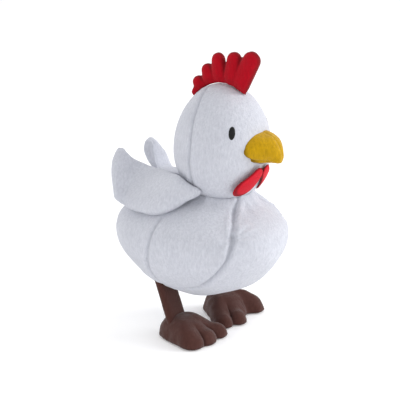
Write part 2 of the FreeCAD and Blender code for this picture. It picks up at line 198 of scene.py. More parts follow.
def mix(tree, factor, first, second):
    """Blends two colours; each is a hex colour, a list of linear RGBA or a socket."""
    settings, links = {"data_type": "RGBA"}, {"Factor": factor}
    for key, value in ((6, first), (7, second)):
        if isinstance(value, str):
            settings[key] = linear(value)
        elif isinstance(value, list):
            settings[key] = value
        else:
            links[key] = value
    return node(tree, "ShaderNodeMix", settings, links).outputs[2]


def fleece(name, light, shade, seam, pile_mm, pile_depth_mm, sheen):
    """Short-pile fleece: soft mottled tone, fine pile, painted shade in the seam grooves, where the
    pile parts.

    pile_mm is the width of a tuft and pile_depth_mm how far the tufts stand up."""
    made, tree, shader = material(
        name,
        {"Roughness": 0.92, "Sheen Weight": sheen, "Sheen Roughness": 0.45,
         "Specular IOR Level": 0.18, "IOR": 1.46},
    )
    place = node(tree, "ShaderNodeTexCoord").outputs["Object"]
    # pile lies in downward strokes, about three times as long as they are wide
    strokes = node(
        tree, "ShaderNodeMapping", {"Scale": (1.0, 1.0, 0.34)}, {"Vector": place}
    ).outputs[0]
    patches = ramp(tree, noise(tree, place, 30, 3), 0.3, 0.7)
    combed = ramp(tree, noise(tree, strokes, pile_mm * 2.2, 4, 0.7), 0.3, 0.7)
    tufts = ramp(tree, noise(tree, place, pile_mm, 3, 0.7), 0.3, 0.7)
    tone = mix(tree, combed, shade, light)
    tone = mix(tree, ramp(tree, tufts, 0.0, 1.0, 0.0, 0.35), tone, light)
    tone = mix(tree, ramp(tree, patches, 0.0, 1.0, 0.0, 0.3), tone, shade)
    # painted shade: blends towards the seam colour where the seam attribute marks grooves, creases
    # and edges
    seam_shade = node(tree, "ShaderNodeAttribute", {"attribute_name": "seam"}).outputs["Fac"]
    tone = mix(tree, ramp(tree, seam_shade, 0.05, 1.0, 0.0, 0.8), tone, seam)
    tree.links.new(tone, shader.inputs["Base Color"])
    coarse = node(
        tree, "ShaderNodeBump", {"Strength": 0.55, "Distance": pile_depth_mm * MM},
        {"Height": combed},
    ).outputs[0]
    fine = node(
        tree, "ShaderNodeBump", {"Strength": 0.6, "Distance": pile_depth_mm * 0.7 * MM},
        {"Height": tufts, "Normal": coarse},
    ).outputs[0]
    tree.links.new(fine, shader.inputs["Normal"])
    return made


def white_fleece():
    # Anti-pill polyester fleece, brushed and sheared: matt white, soft grey strokes in the
    # pile, drawn at 1 mm tufts because the real 0.3 mm ones are finer than a render shows
    light = picked("body")
    # the last colour, the darkest, is painted shade in the seam grooves
    return fleece(
        "Brushed polyester fleece, white", light, darker(light, 0.72, (0.99, 1.0, 1.03)),
        darker(light, 0.42, (0.97, 1.0, 1.08)), 0.9, 0.8, 0.3)


def yellow_fleece():
    # Polyester fleece dyed yolk yellow, shorter pile than the body: matt, with painted brown shade
    # in its seams and where it meets the head
    light = picked("beak")
    return fleece("Brushed polyester fleece, yellow", light, darker(light, 0.6),
                  darker(light, 0.2), 1.0, 0.5, 0.15)


def red_fleece():
    # Polyester fleece dyed scarlet: deep matt red, with nearly black-red painted shade along its
    # edges and in the creases between lobes
    light = picked("comb")
    return fleece("Brushed polyester fleece, red", light, darker(light, 0.7),
                  darker(light, 0.2), 0.9, 0.35, 0.06)


def brown_fleece():
    # Brushed tricot dyed cocoa brown: a flatter nap than fleece, with a faint warm sheen
    light = picked("feet")
    # the darkest colour is painted shade in the toe grooves and along the sole's edge
    return fleece("Brushed tricot, brown", light, darker(light, 0.68),
                  darker(light, 0.26), 0.9, 0.35, 0.22)


def red_felt():
    """Pressed wool-blend felt: matted crossing fibres, painted shade along its edges."""
    made, tree, shader = material(
        "Pressed felt, red",
        {"Roughness": 0.95, "Sheen Weight": 0.1, "Specular IOR Level": 0.12},
    )
    place = node(tree, "ShaderNodeTexCoord").outputs["Object"]
    fibres = ramp(tree, noise(tree, place, 1.4, 5, 0.75), 0.3, 0.7)
    blotch = ramp(tree, noise(tree, place, 7, 2), 0.3, 0.7)
    light = picked("wattles")
    tone = mix(tree, fibres, darker(light, 0.66), light)
    tone = mix(tree, ramp(tree, blotch, 0, 1, 0, 0.4), tone, darker(light, 0.76))
    # painted shade: darker along the felt's edges, where the seam attribute marks them
    cut = node(tree, "ShaderNodeAttribute", {"attribute_name": "seam"}).outputs["Fac"]
    tone = mix(tree, ramp(tree, cut, 0.1, 1.0, 0.0, 0.75), tone, darker(light, 0.2))
    tree.links.new(tone, shader.inputs["Base Color"])
    bump = node(
        tree, "ShaderNodeBump", {"Strength": 0.5, "Distance": 0.3 * MM}, {"Height": fibres}
    ).outputs[0]
    tree.links.new(bump, shader.inputs["Normal"])
    return made


def black_thread():
    """Rayon embroidery thread in satin stitch: parallel glossy strands 0.4 mm apart, drawn
    at 0.9 mm so that they show."""
    made, tree, shader = material(
        "Rayon embroidery thread, black",
        {"Roughness": 0.42, "Anisotropic": 0.4, "Specular IOR Level": 0.3},
    )
    place = node(tree, "ShaderNodeTexCoord").outputs["Object"]
    strands = node(
        tree, "ShaderNodeTexWave",
        {"wave_type": "BANDS", "bands_direction": "Z", "Scale": 1000 / (0.9 * 20),
         "Distortion": 1.2, "Detail": 2.0},
        {"Vector": place},
    ).outputs["Fac"]
    light = picked("eyes")
    tone = mix(tree, strands, darker(light, 0.3), light)
    tree.links.new(tone, shader.inputs["Base Color"])
    bump = node(
        tree, "ShaderNodeBump", {"Strength": 0.6, "Distance": 0.25 * MM}, {"Height": strands}
    ).outputs[0]
    tree.links.new(bump, shader.inputs["Normal"])
    return made


def studio_paper():
    """Seamless studio background paper: matt and almost white."""
    made, tree, shader = material(
        "Studio paper, white",
        {"Roughness": 0.9, "Specular IOR Level": 0.1, "Emission Color": (1.0, 1.0, 1.0, 1.0),
         "Emission Strength": 0.16},
    )
    place = node(tree, "ShaderNodeTexCoord").outputs["Object"]
    grain = noise(tree, place, 3, 2)
    tone = mix(tree, ramp(tree, grain, 0.3, 0.7), "#f6f6f7", "#fafafa")
    tree.links.new(tone, shader.inputs["Base Color"])
    return made


FINISHES = {}
SLOTS = {
    "white_fleece": white_fleece,
    "yellow_fleece": yellow_fleece,
    "red_fleece": red_fleece,
    "brown_fleece": brown_fleece,
    "red_felt": red_felt,
    "black_thread": black_thread,
}


def finish_of(slot):
    """The material of a slot, made once."""
    if slot not in FINISHES:
        FINISHES[slot] = SLOTS[slot]()
    return FINISHES[slot]


# ---------------------------------------------------------------- cloth work

CLOTH_FRAMES = 18


def points_of(mesh):
    """The mesh's points in millimetres."""
    co = np.empty(len(mesh.vertices) * 3)
    mesh.vertices.foreach_get("co", co)
    return co.reshape(-1, 3) / MM


def put_points(mesh, points):
    """Sets the mesh's points, given in millimetres."""
    mesh.vertices.foreach_set("co", (points * MM).astype(np.float32).ravel())
    mesh.update()


def normals_of(mesh):
    """The mesh's vertex normals."""
    out = np.empty(len(mesh.vertices) * 3)
    mesh.vertices.foreach_get("normal", out)
    return out.reshape(-1, 3)


def shaped(form, points):
    """Moves every vertex of a bmesh by a function on millimetre points."""
    co = np.array([v.co[:] for v in form.verts])
    for vert, place in zip(form.verts, points(co)):
        vert.co = Vector(place) * MM


def new_object(name, form):
    """A finished bmesh as an object in the scene, its faces outwards."""
    bmesh.ops.recalc_face_normals(form, faces=form.faces)
    mesh = bpy.data.meshes.new(name)
    form.to_mesh(mesh)
    form.free()
    obj = bpy.data.objects.new(name, mesh)
    bpy.context.scene.collection.objects.link(obj)
    return obj


def applied(obj):
    """Gives the object its evaluated mesh and removes its modifiers."""
    graph = bpy.context.evaluated_depsgraph_get()
    mesh = bpy.data.meshes.new_from_object(obj.evaluated_get(graph))
    obj.modifiers.clear()
    old, obj.data = obj.data, mesh
    bpy.data.meshes.remove(old)


def remeshed(obj, voxel_mm, smooth):
    """One closed even skin of small squares over the whole form."""
    skin = obj.modifiers.new("Even skin", "REMESH")
    skin.mode = "VOXEL"
    skin.voxel_size = voxel_mm * MM
    soften = obj.modifiers.new("Soften", "SMOOTH")
    soften.iterations = smooth
    soften.factor = 0.5
    applied(obj)


def finer(obj, levels):
    """Splits and rounds the skin."""
    split = obj.modifiers.new("Finer", "SUBSURF")
    split.levels = split.render_levels = levels
    applied(obj)


def kept_between(obj, low=-math.inf, high=math.inf):
    """Clips the object's heights; each limit is a number or one for every point."""
    points = points_of(obj.data)
    points[:, 2] = np.clip(points[:, 2], low, high)
    put_points(obj.data, points)


def stuffed(obj, lines, hold_mm, pressure, cap_mm, levels):
    """Blows the skin up as cloth held along its sewn lines, then caps how far it moved."""
    start = points_of(obj.data)
    near = np.full(len(start), 99.0)
    for line in lines:
        near = np.minimum(near, to_line(start, line)[0])
    held = obj.vertex_groups.new(name="sewn")
    for index in np.flatnonzero(near < hold_mm):
        held.add([int(index)], 1.0, "REPLACE")
    cloth = obj.modifiers.new("Stuffing", "CLOTH")
    cloth.settings.use_pressure = True
    cloth.settings.uniform_pressure_force = pressure
    cloth.settings.tension_stiffness = 25
    cloth.settings.compression_stiffness = 25
    cloth.settings.bending_stiffness = 1.5
    cloth.settings.effector_weights.gravity = 0
    if lines:
        cloth.settings.vertex_group_mass = "sewn"
    scene = bpy.context.scene
    for step in range(1, CLOTH_FRAMES + 1):
        scene.frame_set(step)
    applied(obj)
    scene.frame_set(1)
    move = points_of(obj.data) - start
    far = np.linalg.norm(move, axis=1, keepdims=True)
    put_points(obj.data, start + move * np.minimum(1, cap_mm / np.maximum(far, 1e-6)))
    obj.vertex_groups.clear()
    finer(obj, levels)


def to_line(points, line):
    """Distance to a chain of points and how far along it the nearest place is."""
    line = np.asarray(line, float)
    best = np.full(len(points), 1e9)
    along = np.zeros(len(points))
    run = 0.0
    for a, b in zip(line[:-1], line[1:]):
        step = b - a
        length = np.linalg.norm(step)
        share = np.clip(((points - a) @ step) / length**2, 0, 1)
        gap = np.linalg.norm(points - (a + share[:, None] * step), axis=1)
        nearer = gap < best
        best[nearer] = gap[nearer]
        along[nearer] = run + share[nearer] * length
        run += length
    return best, along


def mirrored(line):
    """The same line on the other side of the body."""
    return [(-x, y, z) for x, y, z in line]


def laid_on(obj, line):
    """A smooth chain of points 2 mm apart on the surface, close to a rough line."""
    line = np.asarray(line, float)
    steps = np.r_[0, np.cumsum(np.linalg.norm(np.diff(line, axis=0), axis=1))]
    wanted = np.linspace(0, steps[-1], max(3, int(steps[-1] / 2)))
    chain = np.stack([np.interp(wanted, steps, line[:, i]) for i in range(3)], axis=1)
    for _ in range(4):
        chain[1:-1] = (chain[:-2] + chain[1:-1] * 2 + chain[2:]) / 4
    tree = surface_of(obj)
    return np.array([tree.find_nearest(Vector(p) * MM)[0][:] for p in chain]) / MM


def surface_of(obj):
    """A tree that finds the nearest place on the object's mesh."""
    form = bmesh.new()
    form.from_mesh(obj.data)
    tree = BVHTree.FromBMesh(form)
    form.free()
    return tree


def painted_shade_attribute(mesh, amount):
    """Keeps how much painted shade each vertex takes, in seam grooves, creases and along edges."""
    kept = mesh.attributes.get("seam") or mesh.attributes.new("seam", "FLOAT", "POINT")
    old = np.zeros(len(mesh.vertices), np.float32)
    kept.data.foreach_get("value", old)
    kept.data.foreach_set("value", np.maximum(old, amount).astype(np.float32))


def sewn(obj, line, depth, width, pucker, shade, fade):
    """Pulls a seam in along a line: a narrow groove, small puckers and raised lips.

    depth, width and fade, the length over which its ends die out, are in millimetres;
    pucker is how uneven it is and shade how much painted shade lies in the groove."""
    chain = laid_on(obj, line)
    points, normals = points_of(obj.data), normals_of(obj.data)
    gap, along = to_line(points, chain)
    total = along.max()
    ends = np.clip(np.minimum(along, total - along) / fade, 0, 1) if fade else 1.0
    ripple = np.sin(along * 0.83 + 1.3 * np.sin(along * 0.21)) * 0.6 + np.sin(along * 1.7) * 0.4
    groove = np.exp(-((gap / width) ** 2)) * (1 + pucker * 0.5 * ripple)
    lips = np.exp(-(((gap - 2.6 * width) / (1.4 * width)) ** 2)) * (0.34 + pucker * 0.35 * ripple)
    move = (lips - groove) * depth * ends
    put_points(obj.data, points + normals * move[:, None])
    # painted shade along the groove, scaled by shade
    painted_shade_attribute(obj.data, np.exp(-((gap / (0.75 * width)) ** 2)) * shade * ends)


def crumpled(obj, blobs_mm, height, seed):
    """Low uneven swells, as stuffing leaves under cloth."""
    rng = np.random.default_rng(seed)
    points, normals = points_of(obj.data), normals_of(obj.data)
    swell = np.zeros(len(points))
    for _ in range(14):
        way = rng.normal(size=3)
        way *= rng.uniform(0.6, 1.5) * 2 * math.pi / (blobs_mm * np.linalg.norm(way))
        swell += np.sin(points @ way + rng.uniform(0, 2 * math.pi))
    put_points(obj.data, points + normals * (swell * height / 3.7)[:, None])


def clear_of_head(obj, gap_mm):
    """Moves what lies inside the head's ball out to a gap from it."""
    points = points_of(obj.data)
    away = points - HEAD_CENTRE
    far = np.linalg.norm(away, axis=1)
    radius = HEAD_RADIUS + gap_mm
    inside = far < radius
    points[inside] = HEAD_CENTRE + away[inside] * (radius / far[inside])[:, None]
    put_points(obj.data, points)


def dressed(obj, body, slot, nodes=()):
    """Material, shading, body, slot and the nodes that the piece stands for."""
    obj.data.materials.clear()
    obj.data.materials.append(finish_of(slot))
    obj.data.polygons.foreach_set("use_smooth", [True] * len(obj.data.polygons))
    if body:
        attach(obj, body)
    if nodes:
        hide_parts(*nodes)


def flat_pad(name, lobes, spacing, half_height, place):
    """A flat cut-out in the outline of the lobes, thickened both ways or upwards.

    half_height gives each point's height from (distance inside the outline, (u, v), whether
    it is on the upper face), and place turns (u, v, height) into millimetre points."""
    circles = np.array([c for lobe in lobes for c in lobe])
    low = (circles[:, :2] - circles[:, 2:]).min(0) - 2 * spacing
    high = (circles[:, :2] + circles[:, 2:]).max(0) + 2 * spacing
    size = high - low
    counts = np.ceil(size / spacing).astype(int)
    form = bmesh.new()
    bmesh.ops.create_grid(form, x_segments=int(counts[0]), y_segments=int(counts[1]), size=0.5)
    co = np.array([v.co[:2] for v in form.verts])
    flat = low + (co + 0.5) * size
    depth = inside_of(flat, lobes)
    for vert, spot in zip(form.verts, flat):
        vert.co = (spot[0], spot[1], 0)
    outside = [v for v, d in zip(form.verts, depth) if d < -0.45 * spacing]
    bmesh.ops.delete(form, geom=outside, context="VERTS")
    flat = np.array([v.co[:2] for v in form.verts])
    edge = np.array([v.is_boundary for v in form.verts])
    for _ in range(4):
        depth = inside_of(flat, lobes)
        slope = np.stack(
            [(inside_of(flat + step, lobes) - inside_of(flat - step, lobes)) / 0.4
             for step in np.array(((0.2, 0), (0, 0.2)))], axis=1)
        slope /= np.maximum(np.linalg.norm(slope, axis=1, keepdims=True), 1e-6)
        flat[edge] -= (slope * depth[:, None])[edge]
    for vert, spot in zip(form.verts, flat):
        vert.co = (spot[0], spot[1], 0)
    upper = bmesh.ops.extrude_face_region(form, geom=form.faces[:])
    top = {v for v in upper["geom"] if isinstance(v, bmesh.types.BMVert)}
    flat = np.array([v.co[:2] for v in form.verts])
    over = np.array([v in top for v in form.verts])
    depth = np.maximum(inside_of(flat, lobes), 0)
    height = half_height(depth, flat, over)
    spots = place(flat[:, 0], flat[:, 1], height)
    for vert, spot in zip(form.verts, spots):
        vert.co = Vector(spot) * MM
    return new_object(name, form)


def inside_of(flat, lobes):
    """How far inside the union of tapered strokes each flat point lies."""
    best = np.full(len(flat), -1e9)
    for (ax, ay, ar), (bx, by, br) in lobes:
        a, step = np.array((ax, ay)), np.array((bx - ax, by - ay))
        share = np.clip(((flat - a) @ step) / max(step @ step, 1e-9), 0, 1)
        gap = np.linalg.norm(flat - (a + share[:, None] * step), axis=1)
        best = np.maximum(best, ar + (br - ar) * share - gap)
    return best


# ---------------------------------------------------------------- sizes a user changes

class BodySizes(bpy.types.PropertyGroup):
    rear_fullness: bpy.props.FloatProperty(
        name="Rear fullness", description="How far the seat of the body swells behind the pattern",
        default=0.0085, unit="LENGTH", subtype="DISTANCE")
    seam_depth: bpy.props.FloatProperty(
        name="Seam depth", description="How deep the body seams are pulled in",
        default=0.0022, unit="LENGTH", subtype="DISTANCE")
    stuffing: bpy.props.FloatProperty(
        name="Stuffing", description="How full the body is", default=0.85, min=0.0, max=1.0)


def colour_property(name, description, hex_colour):
    """A colour a user can pick, with an sRGB hex default."""
    return bpy.props.FloatVectorProperty(
        name=name, description=description, size=3, subtype="COLOR", min=0.0, max=1.0,
        default=linear(hex_colour)[:3])


class Colours(bpy.types.PropertyGroup):
    body: colour_property("Body", "Body, head and wing fleece", "#dee0e9")
    beak: colour_property("Beak", "Beak fleece", "#d2a40c")
    comb: colour_property("Comb", "Comb fleece", "#b8051d")
    wattles: colour_property("Wattles", "Felt of the wattles", "#d8132b")
    feet: colour_property("Feet", "Leg and foot fleece", "#54342e")
    eyes: colour_property("Eyes", "Embroidery thread", "#08080b")


AIM = (0, 0, 0.126)
CAMERA_SHIFT = (-0.00875, 0.02)
WORLD_LIGHT, WORLD_SEEN = 0.9, 1.06
FLOOR_RADIUS = 4.0
LIGHTS = (  # name, place in metres, size in metres, watts
    ("Key", (0.85, -1.1, 0.75), 0.8, 12.5),
    ("Side", (-1.3, -0.35, 0.9), 1.2, 0.8),
    ("Back", (0.2, 1.3, 1.1), 1.0, 3.0),
)


class StageSizes(bpy.types.PropertyGroup):
    azimuth: bpy.props.FloatProperty(
        name="Camera azimuth", description="Camera bearing round the chicken",
        default=math.radians(-56), subtype="ANGLE")
    elevation: bpy.props.FloatProperty(
        name="Camera elevation", description="Camera height above the horizon",
        default=math.radians(18), subtype="ANGLE")
    distance: bpy.props.FloatProperty(
        name="Camera distance", description="From the camera to the middle of the chicken",
        default=1.1, unit="LENGTH", subtype="DISTANCE")
    lens: bpy.props.FloatProperty(
        name="Lens", description="Focal length in millimetres", default=99.0)


# ---------------------------------------------------------------- pieces

class CHICKEN_OT_stage(bpy.types.Operator):
    """Camera, pale paper floor and soft studio light"""

    bl_idname = "chicken.stage"
    bl_label = "Stage"

    def execute(self, context):
        sizes = context.scene.chicken_stage
        aim = Vector(AIM)
        level = math.cos(sizes.elevation)
        back = Vector((
            math.sin(sizes.azimuth) * level, -math.cos(sizes.azimuth) * level,
            math.sin(sizes.elevation)))
        lens = bpy.data.cameras.new("Camera")
        lens.lens, lens.sensor_width = sizes.lens, 36.0
        lens.shift_x, lens.shift_y = CAMERA_SHIFT
        camera = bpy.data.objects.new("Camera", lens)
        camera.location = aim + back * sizes.distance
        camera.rotation_euler = back.to_track_quat("Z", "Y").to_euler()
        context.scene.collection.objects.link(camera)
        context.scene.camera = camera

        form = bmesh.new()
        bmesh.ops.create_circle(form, cap_ends=True, radius=FLOOR_RADIUS, segments=96)
        floor = new_object("Floor", form)
        floor.data.materials.append(studio_paper())

        world = bpy.data.worlds.new("Studio")
        world.use_nodes = True
        tree = world.node_tree
        sky = tree.nodes["Background"]
        sky.inputs[0].default_value = (1.0, 1.0, 1.0, 1.0)
        seen = node(tree, "ShaderNodeLightPath").outputs["Is Camera Ray"]
        tree.links.new(ramp(tree, seen, 0.0, 1.0, WORLD_LIGHT, WORLD_SEEN), sky.inputs[1])
        context.scene.world = world
        for name, place, size, power in LIGHTS:
            lamp = bpy.data.lights.new(name, "AREA")
            lamp.size, lamp.energy = size, power
            light = bpy.data.objects.new(name, lamp)
            light.location = place
            light.rotation_euler = (Vector(place) - aim).to_track_quat("Z", "Y").to_euler()
            context.scene.collection.objects.link(light)
        context.scene.view_settings.view_transform = "Standard"
        return {"FINISHED"}


def torso_points(unit):
    """A unit ball as the body's pattern: round, fuller behind, slimmer low in front."""
    x, y, z = unit.T
    rise = np.where(z > 0, 45.0, 66.5)
    out = np.stack([75.0 * x, 88.0 * y, rise * z], axis=1)
    swell = bpy.context.scene.chicken_body.rear_fullness / MM
    out[:, 1] += swell * np.clip(y, 0, 1) ** 2 * np.exp(-((z / 0.6) ** 2))
    out[:, 1] -= 3.6 * np.clip(-y, 0, 1) ** 3 * np.exp(-(((z - 0.1) / 0.5) ** 2))
    slim = np.array((0.36, -0.72, -0.6))
    slim /= np.linalg.norm(slim)
    near = np.abs(x) * slim[0] + y * slim[1] + z * slim[2]
    out -= unit * (3.0 * np.clip(near, 0, 1) ** 5)[:, None]
    return out + TORSO_CENTRE


COLLAR_MIDDLE, COLLAR_TOP = 139.5, 152.0
BODY_SEAMS = (  # line, share of the seam depth, width, pucker, shade, fade
    (FRONT_SEAM, 1.0, 1.9, 0.5, 0.55, 10),
    (REAR_SEAM, 0.75, 1.9, 0.3, 0.5, 8),
    (BELLY_SEAM, 0.6, 2.0, 0.3, 0.4, 8),
    (TAIL_SEAM, 0.6, 2.0, 0.3, 0.4, 8),
)


class CHICKEN_OT_body(bpy.types.Operator):
    """The stuffed body with its collar, panels, seams and folds"""

    bl_idname = "chicken.body"
    bl_label = "Body"

    def execute(self, context):
        sizes = context.scene.chicken_body
        form = bmesh.new()
        bmesh.ops.create_icosphere(form, subdivisions=5, radius=1)
        shaped(form, torso_points)
        collar = Vector((HEAD_CENTRE[0], HEAD_CENTRE[1], COLLAR_MIDDLE)) * MM
        bmesh.ops.create_cone(
            form, cap_ends=True, segments=64, radius1=0.0415, radius2=0.0295, depth=0.024,
            matrix=Matrix.Translation(collar))
        body = new_object("Body", form)
        remeshed(body, 5.0, 3)
        rights = [seam[0] for seam in BODY_SEAMS]
        stuffed(body, rights + [mirrored(line) for line in rights] + [BACK_SEAM], 4.0, 4.0, 3.0, 2)
        kept_between(body, high=COLLAR_TOP)
        depth = sizes.seam_depth / MM
        for side in (1, -1):
            for line, share, *look in BODY_SEAMS:
                sewn(body, line if side == 1 else mirrored(line), depth * share, *look)
            self.gather(body, PINCH * (side, 1, 1))
        sewn(body, BACK_SEAM, depth * 0.7, 1.9, 0.3, 0.5, 8)
        self.neck_folds(body)
        crumpled(body, 55, 0.7, 3)
        clear_of_head(body, NECK_GAP)
        dressed(body, "torso", "white_fleece", (
            "breast_panel", "belly_panel", "right_side_panel", "left_side_panel",
            "right_rear_panel", "left_rear_panel", "body_stuffing"))
        return {"FINISHED"}

    def gather(self, body, centre):
        """A dimple where three panels meet, with folds that spread from it."""
        points, normals = points_of(body.data), normals_of(body.data)
        away = points - centre
        far = np.linalg.norm(away, axis=1)
        angle = np.arctan2(away[:, 2], away[:, 1])
        folds = np.cos(7 * angle + 0.8) * np.exp(-(((far - 13) / 10) ** 2)) * 0.45
        dimple = -2.2 * np.exp(-((far / 9) ** 2))
        put_points(body.data, points + normals * (folds + dimple)[:, None])

    def neck_folds(self, body):
        """Short folds that run out from the neck seam."""
        points, normals = points_of(body.data), normals_of(body.data)
        flat = points - HEAD_CENTRE
        out = np.hypot(flat[:, 0], flat[:, 1])
        angle = np.arctan2(flat[:, 0], flat[:, 1])
        folds = np.sin(11 * angle + 1.5 * np.sin(3 * angle)) + 0.6 * np.sin(19 * angle + 1)
        near = np.exp(-(((out - 36) / 11) ** 2)) * (points[:, 2] > 105)
        put_points(body.data, points + normals * (folds * near * 0.5)[:, None])


def head_points(unit):
    """A unit ball as the head's pattern: a ball below, taller above, with a small chin."""
    x, y, z = unit.T
    out = np.stack([48.4 * x, 48.4 * y, np.where(z > 0, 66.2, 48.4) * z], axis=1)
    chin = np.clip(-0.75 * y - 0.65 * z, 0, 1) ** 4
    out[:, 1] += 1.6 * chin
    return out + HEAD_CENTRE


class CHICKEN_OT_head(bpy.types.Operator):
    """The stuffed head with its side seams"""

    bl_idname = "chicken.head"
    bl_label = "Head"

    def execute(self, context):
        form = bmesh.new()
        bmesh.ops.create_icosphere(form, subdivisions=5, radius=1)
        shaped(form, head_points)
        head = new_object("Head", form)
        remeshed(head, 4.5, 2)
        stuffed(head, [HEAD_SEAM, mirrored(HEAD_SEAM), NAPE_SEAM], 3.5, 3.0, 1.4, 2)
        points = points_of(head.data)
        away = points - HEAD_CENTRE
        far = np.linalg.norm(away, axis=1)
        low = (points[:, 2] < 176) & (far > HEAD_RADIUS)
        points[low] = HEAD_CENTRE + away[low] * (HEAD_RADIUS / far[low])[:, None]
        put_points(head.data, points)
        crumpled(head, 60, 0.35, 5)
        for line in (HEAD_SEAM, mirrored(HEAD_SEAM)):
            sewn(head, line, 1.5, 1.7, 0.35, 0.5, 6)
        sewn(head, NAPE_SEAM, 1.1, 1.7, 0.3, 0.4, 6)
        self.rounded_below(head)
        dressed(head, "head", "white_fleece", (
            "right_face_panel", "left_face_panel", "right_head_back_panel",
            "left_head_back_panel", "head_stuffing", "neck_stuffing"))
        return {"FINISHED"}

    def rounded_below(self, head):
        """Makes the part that turns in the collar a true ball, blended out above it."""
        points = points_of(head.data)
        away = points - HEAD_CENTRE
        far = np.linalg.norm(away, axis=1)
        share = np.clip((170 - points[:, 2]) / 12, 0, 1)
        wanted = far + (HEAD_RADIUS - far) * share
        put_points(head.data, HEAD_CENTRE + away * (wanted / far)[:, None])


def eased(table, station):
    """Smooth values between the rows of a table."""
    low = np.clip(station.astype(int), 0, len(table) - 2)
    share = (station - low)[:, None]
    rows = np.vstack([table[:1] * 2 - table[1:2], table, table[-1:] * 2 - table[-2:-1]])
    a, b, c, d = (rows[low + step] for step in range(4))
    curve = 2 * a - 5 * b + 4 * c - d + share * (3 * (b - c) + d - a)
    return b + 0.5 * share * (c - a + share * curve)


def rising(value, start, length):
    """From 0 to 1 over a length, easing in and out."""
    share = np.clip((value - start) / length, 0, 1)
    return share * share * (3 - 2 * share)


def wing_points(unit):
    """A unit ball as the right wing's pad, laid through its slices."""
    share = np.arccos(np.clip(unit[:, 2], -1, 1)) / math.pi
    angle = np.arctan2(unit[:, 1], unit[:, 0])
    table = np.array([(y, *top, *crest, *rim, half)
                      for y, top, crest, rim, half in WING_STATIONS])
    station = share * (len(table) - 1)
    y, tx, tz, cx, cz, rx, rz, half = eased(table, station).T
    across = (1 - np.cos(angle)) / 2
    # a curve through the top, the crest and the rim: their shares, and its slopes
    shares = ((1 - across) * (1 - 2 * across), 4 * across * (1 - across), across * (2 * across - 1))
    slopes = (4 * across - 3, 4 - 8 * across, 4 * across - 1)
    out, up, run, fall = [
        sum(share_of * value for share_of, value in zip(weights, values))
        for weights, values in (
            (shares, (tx, cx, rx)), (shares, (tz, cz, rz)),
            (slopes, (tx, cx, rx)), (slopes, (tz, cz, rz)))]
    length = np.maximum(np.hypot(run, fall), 1e-6)
    lift = half * np.sign(np.sin(angle)) * np.abs(np.sin(angle)) ** 0.7
    ends = np.clip(np.minimum(share, 1 - share) * 9, 0, 1)
    close = np.sqrt(1 - (1 - ends) ** 2)
    out, up = cx + (out - cx) * close, cz + (up - cz) * close
    lift = lift * close
    return np.stack([-(out - fall * lift / length), y, up + run * lift / length], axis=1)


class CHICKEN_OT_wings(bpy.types.Operator):
    """Two stuffed wings at the shoulders"""

    bl_idname = "chicken.wings"
    bl_label = "Wings"

    def execute(self, context):
        form = bmesh.new()
        bmesh.ops.create_uvsphere(form, u_segments=40, v_segments=56, radius=1)
        shaped(form, wing_points)
        right = new_object("Right_wing", form)
        remeshed(right, 3.0, 7)
        rim = [(-(w[3][0] + 0.5), w[0], w[3][1]) for w in WING_STATIONS]
        top = [(-w[1][0], w[0], w[1][1]) for w in WING_STATIONS]
        stuffed(right, [rim, top], 2.5, 2.5, 1.6, 1)
        sewn(right, rim, 0.5, 1.2, 0.5, 0.3, 0)
        sewn(right, top, 0.5, 1.2, 0.5, 0.3, 0)
        self.spread(right)
        crumpled(right, 34, 0.45, 8)
        left = bpy.data.objects.new("Left_wing", right.data.copy())
        context.scene.collection.objects.link(left)
        left.data.transform(Matrix.Scale(-1, 4, (1, 0, 0)))
        left.data.flip_normals()
        self.sag(left)
        for side, wing, x in (("right", right, -1), ("left", left, 1)):
            clear_of_head(wing, 0.6)
            dressed(wing, None, "white_fleece", (
                f"{side}_wing_outer_panel", f"{side}_wing_inner_panel",
                f"{side}_wing_stuffing"))
            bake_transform(wing)
        return {"FINISHED"}

    def spread(self, wing):
        """Leans the tip outwards and draws its rear edge in."""
        points = points_of(wing.data)
        points[:, 0] -= 13.0 * rising(points[:, 1], 58, 18)
        points[:, 1] -= 8.5 * rising(points[:, 1], 78, 19)
        low = np.clip((172 - points[:, 2]) / 26, 0, 1) * np.clip((points[:, 1] - 56) / 30, 0, 1)
        points[:, 1] -= 7.0 * low
        put_points(wing.data, points)

    def sag(self, wing):
        """Lets the left wing sink between its tip and the head."""
        points = points_of(wing.data)
        points[:, 0] -= 12.0 * rising(points[:, 1], 56, 18)
        x, y, z = points.T
        front = np.clip((24 - y) / 16, 0, 1)
        outer = np.clip(x - 32, 0, 22) * np.clip((y - 24) / 16, 0, 1)
        limit = 150 + 42 * np.clip((y - 65) / 9, 0, 1) ** 2 + 26 * front - outer
        points[:, 2] -= np.maximum(z - limit, 0) * 0.82
        put_points(wing.data, points)


